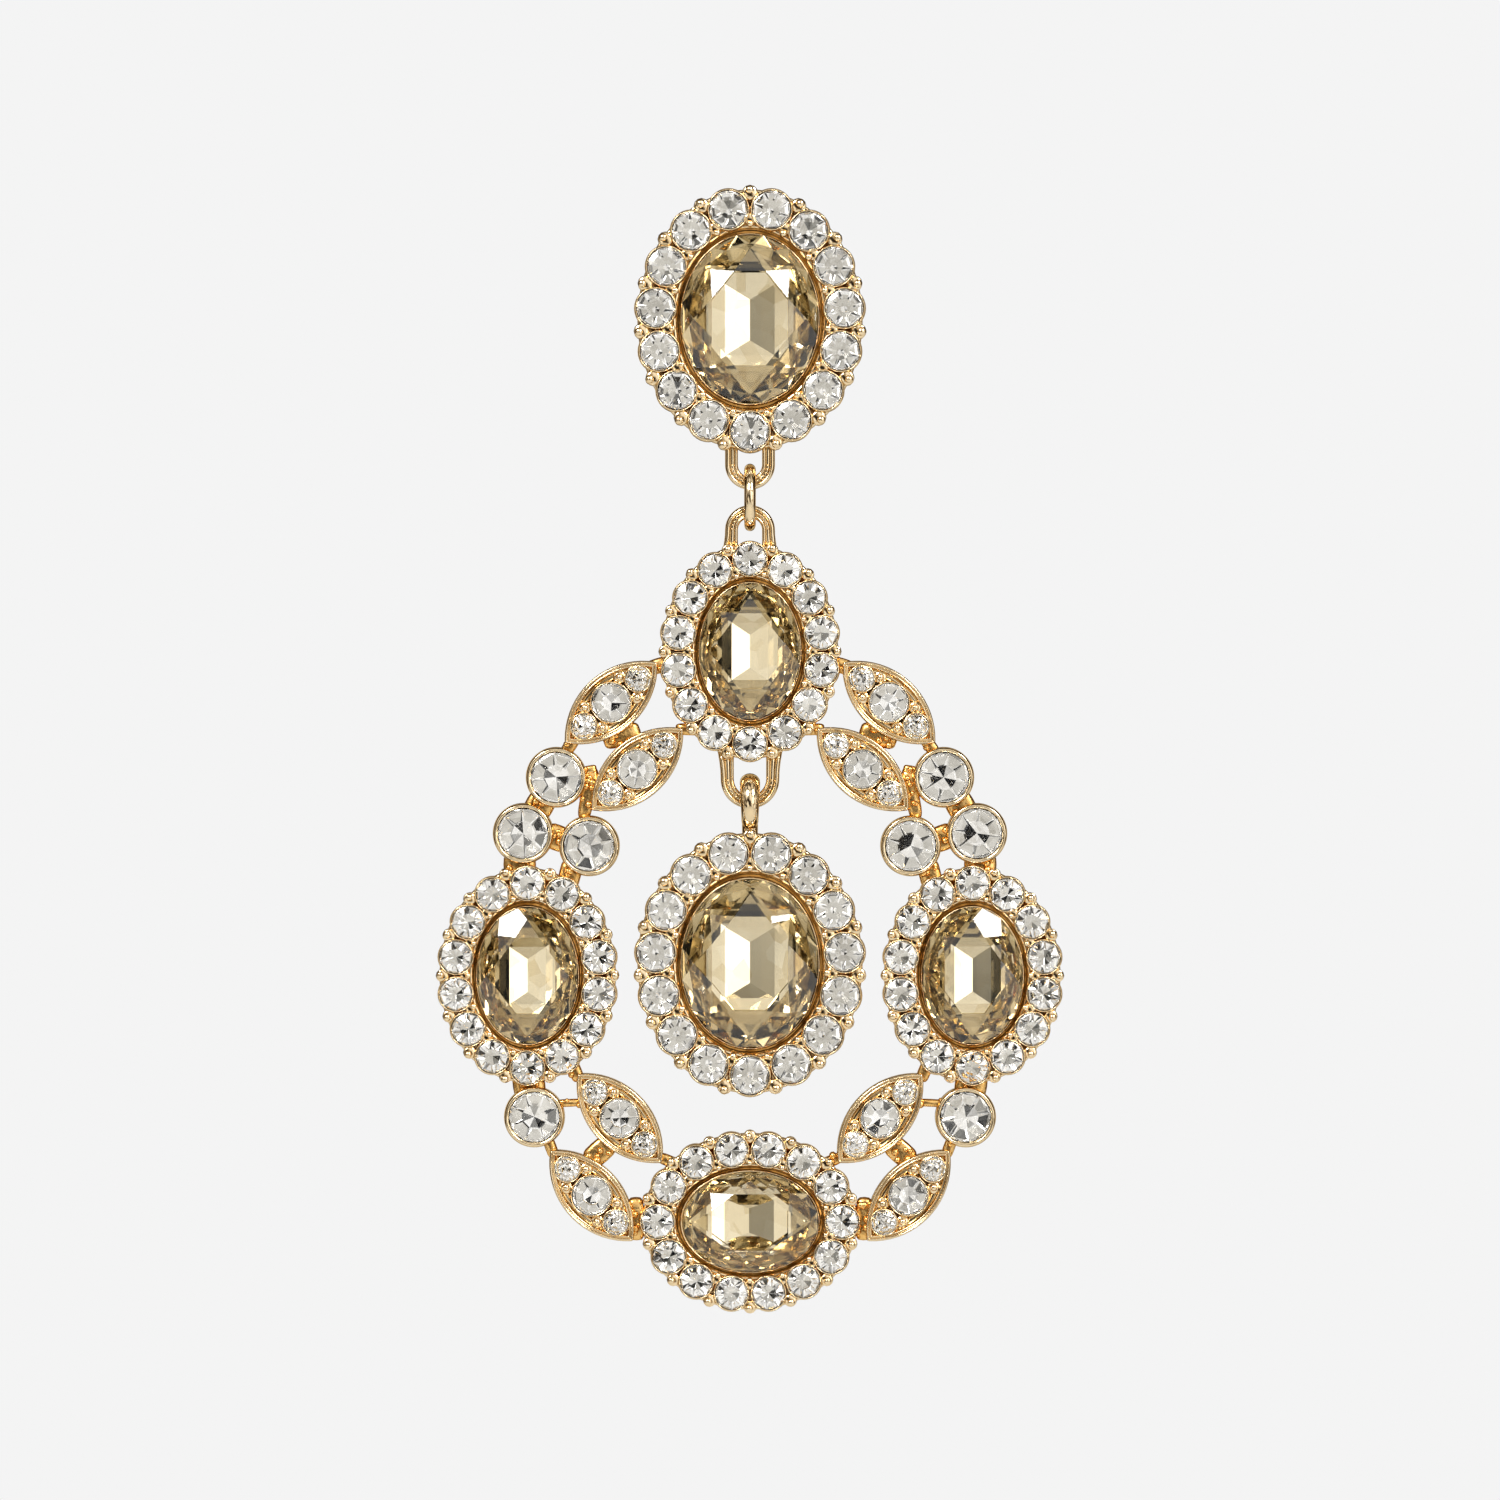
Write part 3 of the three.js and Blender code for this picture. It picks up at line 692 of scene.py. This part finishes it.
def edgeRing(centre, middleRadius, thick, footWidth, topWidth, around, sides):
    # Ring seen edge on: a circle in the up-front plane carrying an oval section, whose half
    # width goes from footWidth at the bottom to topWidth at the top.
    turn = np.arange(around)[:, None] * 2 * np.pi / around
    section = np.arange(sides)[None, :] * 2 * np.pi / sides
    width = footWidth + (topWidth - footWidth) * (1 + np.sin(turn)) / 2
    reach = middleRadius + thick * np.cos(section)
    grid = np.stack([width * np.sin(section), reach * np.sin(turn), reach * np.cos(turn)], -1)
    return ringShell(grid + [*centre, 0.0])


def bail(centre):
    # The drop's ring, thicker and wider than the jump ring.
    return edgeRing(centre, bailLook["middle"], bailLook["thick"], bailLook["footWidth"],
                    bailLook["topWidth"], 48, 20)


def dropNeck(centre):
    # Tapered foot of the bail, running down into the notch between the two top cups.
    steps = neckLook["steps"]
    height = centre[1] + np.linspace(neckLook["low"], neckLook["high"], steps)
    taper = np.interp(np.linspace(0, 1, steps), [0, 0.45, 1], [0.25, 0.62, 0.66])
    route = np.stack([np.zeros(steps), height], axis=1)
    return [rod(route, taper, depth=neckLook["depth"], sides=18)]


def jumpRing():
    # Plain torus of round wire, as wide as the CAD ring.
    low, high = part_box("jump_ring")
    wire = ringLook["wire"]
    radius = (high.z - low.z) / 2 / mm - wire
    made = edgeRing(middle("jump_ring"), radius, wire, wire, wire, 72, 24)
    makePiece("ring", [made], [gold], "jump_ring", ["jump_ring"])


postLook = dict(shank=0.45, groove=0.34, neck=0.52, flange=1.0)  # radii


def earPost():
    # Turned post: a flat pad, a straight shank with one groove, and a rounded end.
    low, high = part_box("ear_post")
    centre = middle("ear_post")
    pad = (high.x - low.x) / 2 / mm
    front = -(low.y - loopPlaneY) / mm
    end = -(high.y - loopPlaneY) / mm
    shank, groove, neck, flange = postLook.values()
    profile = [(0, front), (pad - 0.1, front), (pad, front - 0.12), (pad, front - 0.38),
               (pad - 0.15, front - 0.5), (flange, front - 0.56), (neck, front - 0.8),
               (shank, front - 1.2), (shank, end + 2.6), (groove, end + 2.4),
               (groove, end + 2.1), (shank, end + 1.9), (shank, end + 0.5),
               (0.3, end + 0.12), (0, end)]
    profile = softened(profile, False)
    around = np.arange(40) * 2 * np.pi / 40
    grid = np.stack([profile[:, :1] * np.cos(around), profile[:, :1] * np.sin(around),
                     profile[:, 1:] + 0 * around], axis=-1) + [*centre, 0.0]
    makePiece("post", [poleShell(grid)], [gold], "stud", ["ear_post"])


# What joins the four small clusters into a frame.

# Cups are the settings' own radii; the stones are a little smaller. Beads are placed along
# and across the leaf from its middle.
leafLook = dict(halfLength=4.95, halfWidth=2.4, rimTop=1.22, back=-0.9, middleCup=1.56,
                endCup=1.0, middleStone=1.54, endStone=0.985, table=1.5, girdle=1.0,
                culet=-0.2, beadAlong=1.86, beadAcross=1.08, beadRadius=0.29, beadFoot=0.3,
                beadTop=1.14, padRadius=0.55, padTop=0.80)
bezelLook = dict(cup=2.02, outer=0.43, rimTop=1.34, back=-1.0, floor=-0.65, stone=2.01,
                 table=1.75, girdle=1.12, culet=-0.5)

# The bars behind the frame. Their grains of rough casting have ranges of radius and top.
webLook = dict(widen=1.05, back=-0.85, front=0.45, power=0.5, grainsPerMm2=1.6,
               grainFoot=-0.6, grainRadius=(0.18, 0.34), grainTop=(0.5, 0.8))

# Cast bars behind half of the frame: both ends and the width, in millimetres from the top
# cluster's centre, with y downwards.
bars = [
    dict(x1=6.6, y1=0.9, x2=8.2, y2=1.4, width=1.2),
    dict(x1=4.0, y1=6.3, x2=6.0, y2=6.2, width=0.9),
    dict(x1=8.8, y1=6.3, x2=11.8, y2=7.2, width=1.6),
    dict(x1=14.0, y1=6.9, x2=14.9, y2=8.2, width=1.0),
    dict(x1=12.6, y1=9.3, x2=13.4, y2=13.5, width=1.1),
    dict(x1=13.4, y1=9.6, x2=12.3, y2=9.4, width=0.7),
    dict(x1=16.4, y1=11.5, x2=17.4, y2=13.2, width=2.2),
    dict(x1=16.4, y1=14.6, x2=14.6, y2=15.3, width=2.0),
    dict(x1=18.5, y1=16.2, x2=18.5, y2=18.0, width=2.5),
    dict(x1=14.2, y1=16.8, x2=14.7, y2=18.9, width=1.7),
    dict(x1=17.9, y1=33.8, x2=17.6, y2=35.8, width=2.5),
    dict(x1=14.4, y1=32.8, x2=13.7, y2=34.5, width=1.0),
    dict(x1=15.6, y1=36.3, x2=13.4, y2=36.2, width=0.6),
    dict(x1=16.3, y1=39.0, x2=15.7, y2=40.6, width=0.9),
    dict(x1=11.2, y1=39.4, x2=13.0, y2=41.0, width=1.8),
    dict(x1=7.3, y1=40.6, x2=5.8, y2=41.2, width=0.9),
    dict(x1=9.2, y1=43.8, x2=9.1, y2=47.3, width=1.3),
]


def leafMetal(inner, centre, outer):
    # Raised rim, a sunken band inside it, a back plate, a cup for each stone, and a bead on
    # a pad on each side of both gaps between the stones.
    axis = (outer - inner) / np.linalg.norm(outer - inner)
    side = np.array([-axis[1], axis[0]])
    turn = np.arctan2(axis[1], axis[0])
    path = leafPath(centre, leafLook["halfLength"], leafLook["halfWidth"], turn)
    top, back = leafLook["rimTop"], leafLook["back"]
    made = [band(path, [
        (-0.08, back), (0.0, back + 0.15), (0.0, top - 0.35), (-0.04, top - 0.08),
        (-0.13, top), (-0.22, top - 0.06), (-0.25, top - 0.24), (-0.31, top - 0.22),
        (-0.38, top - 0.16), (-0.46, top - 0.22), (-0.56, top - 0.55), (-0.56, back)])]
    made.append(band(path, [(-0.40, back + 0.05), (-0.40, 0.62), (-1.08, 0.6),
                            (-1.08, back + 0.05)]))
    made.append(dish(path, centre, [(-0.9, back - 0.05), (-0.16, back - 0.05),
                                    (-0.10, back + 0.1), (-0.10, -0.32), (-0.9, -0.32)]))
    for place, radius in ((inner, leafLook["endCup"]), (centre, leafLook["middleCup"]),
                          (outer, leafLook["endCup"])):
        made.append(band(ovalPath(place, radius, radius, 28), [
            (0.15, 0.2), (0.15, 0.95), (0.11, 1.08), (0.06, 1.1), (0.01, 1.05),
            (-0.03, 0.8), (-0.05, 0.2)]))
    for way, across in ((-1, -1), (-1, 1), (1, -1), (1, 1)):
        spot = centre + (axis * way * leafLook["beadAlong"]
                         + side * across * leafLook["beadAcross"])
        made += beads(spot, leafLook["padRadius"], back + 0.1, leafLook["padTop"], rings=4,
                      dome=0.25)
        made += beads(spot, leafLook["beadRadius"], leafLook["beadFoot"],
                      leafLook["beadTop"])
    return made


def bezelMetal(centre):
    # A bowl with a thick, softly rounded rim round the stone.
    path = ovalPath(centre, bezelLook["cup"], bezelLook["cup"], 56)
    wall, top, back = bezelLook["outer"], bezelLook["rimTop"], bezelLook["back"]
    return dish(path, centre, [
        (-1.2, back), (wall - 0.15, back), (wall, back + 0.2), (wall, 0.5),
        (wall - 0.02, top - 0.38), (wall - 0.10, top - 0.10), (wall - 0.2, top),
        (0.09, top - 0.03), (0.02, top - 0.16), (-0.03, 0.6),
        (-0.2, bezelLook["floor"] + 0.1), (-1.2, bezelLook["floor"])])


def web(start, end, width):
    # A low bar with a few rough grains of casting on it.
    made = [bar(start, end, width * webLook["widen"], webLook["back"], webLook["front"],
                webLook["power"])]
    count = max(2, int(np.linalg.norm(end - start) * width * webLook["grainsPerMm2"]))
    along, across = (end - start), np.array([start[1] - end[1], end[0] - start[0]])
    across = across / np.linalg.norm(across) * width / 2
    for _ in range(count):
        spot = start + along * shade.uniform(0.1, 0.9) + across * shade.uniform(-0.8, 0.8)
        made += beads(spot, shade.uniform(*webLook["grainRadius"]), webLook["grainFoot"],
                      shade.uniform(*webLook["grainTop"]), sides=9, rings=4)
    for one in made:
        one["slots"][:] = 1  # the rough-cast gold of frame_links, darker and more orange as painted recess shade
    return made


def frameClusters():
    # The frame's four small clusters; the bottom one lies on its side.
    metal = []
    for name, turn in (("top", 0.0), ("left", 0.0), ("right", 0.0), ("bottom", np.pi / 2)):
        metal += clusterMetal(smallCluster, middle(name + "_centre_stone"), turn)
        clusterStones(name, "frame", smallCluster, turn)
    makePiece("frame_clusters", metal, [gold], "frame", ["frame_casting"])


def frameStone(node, radius, look):
    # One stone of a leaf or bezel, as a piece of its own.
    stone = smallStone(middle(node), radius, look["table"], look["girdle"], look["culet"])
    makePiece(node.replace("_stone", ""), [stone], clearSet, "frame",
              [node])


def frameLinks():
    # The leaves, bezels, cast bars and lugs that join the four clusters into a frame.
    top = middle("top_centre_stone")
    metal = []
    for side, sign in (("left", -1), ("right", 1)):
        for leaf in ("upper_outer", "upper_inner", "lower_inner", "lower_outer"):
            nodes = [f"{side}_{leaf}_leaf_{part}_stone"
                     for part in ("inner", "middle", "outer")]
            metal += leafMetal(*[middle(node) for node in nodes])
            for node, stone in zip(nodes, ("endStone", "middleStone", "endStone")):
                frameStone(node, leafLook[stone], leafLook)
        for bezel in ("upper", "outer", "inner", "lower"):
            node = f"{side}_{bezel}_bezel_stone"
            metal.append(bezelMetal(middle(node)))
            frameStone(node, bezelLook["stone"], bezelLook)
        for one in bars:
            start = top + [sign * one["x1"], -one["y1"]]
            end = top + [sign * one["x2"], -one["y2"]]
            metal += web(start, end, one["width"])
    metal += loopMetal(top, lugs["frameTop"]) + loopMetal(top, lugs["frameFoot"])
    makePiece("frame_links", metal, [gold, recessShadeGold], "frame",
              ["frame_casting"])


studAndDrop()
jumpRing()
earPost()
print("stud, ring and drop made")
frameClusters()
frameLinks()
print("frame made")


# Camera, light and floor.

studio = dict(fieldMm=120.0, distanceM=0.70, lens=200.0, floorBelowM=0.30, floorRadiusM=1.0,
              floorSides=64, paper="#F4F4F4", floor="#D8D8D7", softLight=0.85,
              bounces=24, glossyBounces=12)

# Lamps: places, aims and sizes in the frame's metres, and powers in watts.
lamps = dict(
    key=dict(place=(-0.35, -0.60, 0.45), aim=(0, 0, -0.03), width=0.26, height=0.26,
             power=4.8),
    side=dict(place=(0.42, -0.48, 0.40), aim=(0, 0, -0.04), width=0.22, height=0.26,
              power=3.6),
    fill=dict(place=(0.42, -0.52, 0.04), aim=(0, 0, -0.04), width=0.22, height=0.32,
              power=0.42))

# What metal and glass see round them: cuts turn noise of this scale into patches, and sides
# is the tone from straight behind the earring (0) to straight behind the viewer (1).
metalTent = dict(
    cuts=[(0.0, "#15110D"), (0.44, "#241E18"), (0.46, "#8C8070"), (0.52, "#B4AA9A"),
          (0.55, "#FFFFFF"), (1.0, "#FFFFFF")],
    sides=[(0.0, "#FFFFFF"), (0.08, "#D8D0C4"), (0.20, "#6A5A46"), (0.42, "#4A3C2C"),
           (0.55, "#B0A392"), (0.69, "#FFFFFF"), (0.985, "#FFFFFF"), (1.0, "#A8A298")],
    scale=2.6, strength=1.3)
glassTent = dict(
    cuts=[(0.0, "#101214"), (0.44, "#181A1D"), (0.445, "#8E8F90"), (0.49, "#B4B4B2"),
          (0.495, "#FFFFFF"), (1.0, "#FFFFFF")],
    sides=[(0.0, "#D8D4CC"), (0.45, "#D0CCC4"), (0.62, "#FFFFFF"), (0.97, "#FFFFFF"),
           (0.99, "#E0DED8"), (1.0, "#C8C6C0")],
    scale=3.4, strength=1.42)


def camera():
    # Straight on to the face, level with the middle of the earring.
    low, high = cadBox
    centre = (low + high) / 2
    data = bpy.data.cameras.new("camera")
    data.lens = studio["lens"]
    data.sensor_width = studio["lens"] * studio["fieldMm"] * mm / studio["distanceM"]
    data.clip_start, data.clip_end = 0.01, 10.0
    made = bpy.data.objects.new("camera", data)
    made.location = (centre.x, low.y - studio["distanceM"], centre.z)
    made.rotation_euler = (np.pi / 2, 0.0, 0.0)
    bpy.context.scene.collection.objects.link(made)
    bpy.context.scene.camera = made


def setRamp(node, stops):
    # Gives a colour ramp its stops of (place, colour).
    elements = node.color_ramp.elements
    elements[0].position, elements[0].color = stops[0][0], linear(stops[0][1])
    elements[1].position, elements[1].color = stops[-1][0], linear(stops[-1][1])
    for position, code in stops[1:-1]:
        elements.new(position).color = linear(code)


def areaLight(name, place, aim, width, height, power):
    # A white rectangular lamp at place, turned towards aim.
    data = bpy.data.lights.new(name, "AREA")
    data.shape, data.size, data.size_y = "RECTANGLE", width, height
    data.energy = power
    made = bpy.data.objects.new(name, data)
    made.location = place
    direction = Vector(aim) - Vector(place)
    made.rotation_euler = direction.to_track_quat("-Z", "Y").to_euler()
    bpy.context.scene.collection.objects.link(made)


def tone(tree, way, tent):
    # Background by direction: noise cut into patches with crisp edges, times a ramp by how
    # far the direction points to the viewer's side, which is its product with (0, -1, 0).
    facing = addNode(tree, "ShaderNodeVectorMath", {"operation": "DOT_PRODUCT"}, {0: way})
    facing.inputs[1].default_value = (0.0, -1.0, 0.0)
    turn = addNode(tree, "ShaderNodeMapRange", {"From Min": -1.0, "From Max": 1.0},
                   {"Value": facing.outputs["Value"]})
    patches = addNode(tree, "ShaderNodeTexNoise", {"Scale": tent["scale"], "Detail": 1.5},
                      {"Vector": way})
    crisp = addNode(tree, "ShaderNodeValToRGB", None, {0: patches.outputs["Fac"]})
    setRamp(crisp, tent["cuts"])
    level = addNode(tree, "ShaderNodeValToRGB", None, {0: turn.outputs[0]})
    setRamp(level, tent["sides"])
    both = addNode(tree, "ShaderNodeMix", {"data_type": "RGBA", "blend_type": "MULTIPLY"},
                   {6: crisp.outputs[0], 7: level.outputs[0]})
    both.inputs[0].default_value = 1.0
    return addNode(tree, "ShaderNodeBackground", {"Strength": tent["strength"]},
                   {"Color": both.outputs[2]})


def world():
    # A white tent with dark gaps. Metal sees the gaps and a dim far side, which draw its
    # outlines; light that has passed through the stones sees a brighter tent with smaller
    # gaps; the camera itself sees plain paper.
    made = bpy.data.worlds.new("tent")
    bpy.context.scene.world = made
    made.use_nodes = True
    tree = made.node_tree
    tree.nodes.clear()
    output = tree.nodes.new("ShaderNodeOutputWorld")
    way = addNode(tree, "ShaderNodeTexCoord").outputs["Generated"]
    forMetal, forGlass = tone(tree, way, metalTent), tone(tree, way, glassTent)
    sight = addNode(tree, "ShaderNodeLightPath")
    light = addNode(tree, "ShaderNodeMixShader", None,
                    {0: sight.outputs["Is Transmission Ray"], 1: forMetal.outputs[0],
                     2: forGlass.outputs[0]})
    soft = addNode(tree, "ShaderNodeBackground",
                   {"Color": linear("#FFFFFF"), "Strength": studio["softLight"]})
    paper = addNode(tree, "ShaderNodeBackground",
                    {"Color": linear(studio["paper"]), "Strength": 1.0})
    matt = addNode(tree, "ShaderNodeMixShader", None,
                   {0: sight.outputs["Is Diffuse Ray"], 1: light.outputs[0],
                    2: soft.outputs[0]})
    mixed = addNode(tree, "ShaderNodeMixShader", None,
                    {0: sight.outputs["Is Camera Ray"], 1: matt.outputs[0],
                     2: paper.outputs[0]})
    tree.links.new(mixed.outputs[0], output.inputs[0])


def floor():
    # Plain pale disc well below the earring.
    low, high = cadBox
    count, radius = studio["floorSides"], studio["floorRadiusM"]
    angle = np.arange(count) * 2 * np.pi / count
    points = np.stack([radius * np.cos(angle), radius * np.sin(angle),
                       np.full(count, low.z - studio["floorBelowM"])], axis=1)
    mesh = bpy.data.meshes.new("floor")
    mesh.from_pydata(points.tolist(), [], [list(range(count))])
    material, tree, output = newMaterial("palepaper")
    shader = addNode(tree, "ShaderNodeBsdfPrincipled",
                     {"Base Color": linear(studio["floor"]), "Roughness": 1.0,
                      "Specular IOR Level": 0.0})
    tree.links.new(shader.outputs[0], output.inputs[0])
    mesh.materials.append(material)
    made = bpy.data.objects.new("floor", mesh)
    bpy.context.scene.collection.objects.link(made)


# Light crosses each stone many times by reflection before it comes out.
bpy.context.scene.cycles.glossy_bounces = studio["glossyBounces"]
bpy.context.scene.cycles.max_bounces = studio["bounces"]
camera()
world()
floor()
for name, lamp in lamps.items():
    areaLight(name, **lamp)
bpy.context.scene.view_settings.view_transform = "Standard"
print("studio ready")
